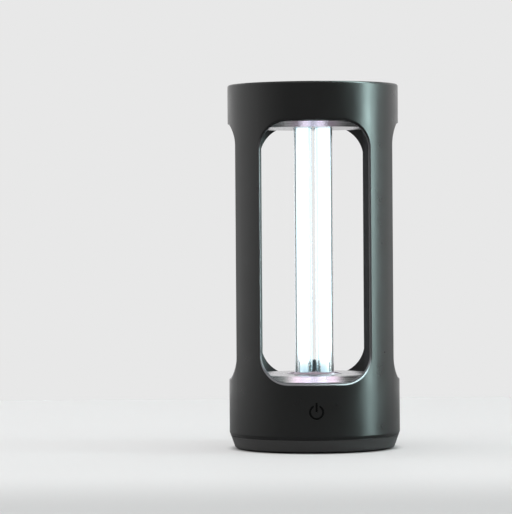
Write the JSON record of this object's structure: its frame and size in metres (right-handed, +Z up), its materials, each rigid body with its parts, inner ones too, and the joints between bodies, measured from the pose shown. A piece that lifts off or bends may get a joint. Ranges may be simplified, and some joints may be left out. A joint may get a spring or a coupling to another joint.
{
  "type": "uv sterilization lamp",
  "caption": "Table lamp that sterilises air and surfaces: bent quartz tubes stand between reflector pans in a dark cylinder with windows, a sprung button on top and a rear mains inlet.",
  "frame": {"origin": "middle of the bounding box at the underside of the rubber feet", "axes": "+Z up along the body, -Y towards the front window with the mark, +X to the right seen from the front"},
  "size_m": [0.13, 0.13, 0.277],
  "materials": {
    "shell_black": "satin black moulding",
    "base_black": "satin black moulding, a touch duller than the body",
    "cover_black": "fine grained black",
    "button_black": "satin black",
    "mark_black": "glossy black inlay",
    "pan_polished": "bright polished sheet",
    "chassis_grey": "glass filled dark grey",
    "liner_black": "matt dark grey moulding",
    "quartz": "clear quartz",
    "lamp_white": "white ceramic-like moulding",
    "collar_satin": "satin metal",
    "spacer_grey": "matt dark grey",
    "socket_white": "matt white",
    "brass": "plain",
    "nickel": "nickel plated",
    "zinc_steel": "zinc plated",
    "clip_steel": "spring steel strip",
    "silicone": "pale grey silicone",
    "foot_rubber": "dark grey rubber",
    "board_green": "green solder mask",
    "chip_black": "moulded",
    "can_black": "sleeved can",
    "film_red": "dipped",
    "ferrite": "sintered ferrite",
    "coil_copper": "enamelled copper",
    "sink_aluminium": "extruded",
    "fuse_glass": "clear tube",
    "plug_white": "moulded",
    "inlet_black": "moulded",
    "lead_blue": "insulated lead",
    "lead_white": "insulated lead",
    "cable_black": "insulated cable",
    "spring_steel": "wire",
    "guide_milk": "frosted clear",
    "light_white": "small lamps"
  },
  "bodies": {
    "housing": {"ballast_board": "board_green", "base_cover": "base_black", "base_screws": "zinc_steel", "board_connectors": "plug_white", "board_screws": "zinc_steel", "body_shell": "shell_black", "bulk_capacitors": "can_black", "button_spring": "spring_steel", "button_switch": "chip_black", "buzzer": "chip_black", "ceiling_reflector": "pan_polished", "clip_screws": "zinc_steel", "control_board": "board_green", "control_chip": "chip_black", "cover_screws": "zinc_steel", "film_capacitors": "film_red", "floor_reflector": "pan_polished", "front_mark": "mark_black", "fuse": "fuse_glass", "heat_sink": "sink_aluminium", "inlet_pins": "nickel", "lamp_base": "lamp_white", "lamp_collar": "collar_satin", "lamp_electrodes": "nickel", "lamp_leads": "lead_white", "lamp_pins": "nickel", "lamp_socket": "socket_white", "lamp_spacer": "spacer_grey", "lamp_tubes": "quartz", "light_guide": "guide_milk", "line_choke": "coil_copper", "lower_chassis": "chassis_grey", "mains_inlet": "inlet_black", "mains_leads": "lead_blue", "post_liner_front_left": "liner_black", "post_liner_front_right": "liner_black", "post_liner_rear_left": "liner_black", "post_liner_rear_right": "liner_black", "power_transistors": "chip_black", "rod_nuts": "zinc_steel", "rubber_feet": "foot_rubber", "signal_cable": "cable_black", "socket_contacts": "brass", "socket_screws": "zinc_steel", "status_lights": "light_white", "tie_rods": "zinc_steel", "top_cover": "cover_black", "transformer_coil": "coil_copper", "transformer_core": "ferrite", "tube_clip": "clip_steel", "tube_pad": "silicone", "upper_chassis": "chassis_grey"},
    "button": {"power_button": "button_black", "switch_plunger": "lamp_white"}
  },
  "joints": [
    {"name": "button_press", "type": "slide", "parent": "housing", "child": "button", "axis": [0, 0, -1], "range_m": [0, 0.0015], "stiffness_N_per_m": 800, "springref_m": -0.0012, "deforming": ["button_spring"]}
  ]
}
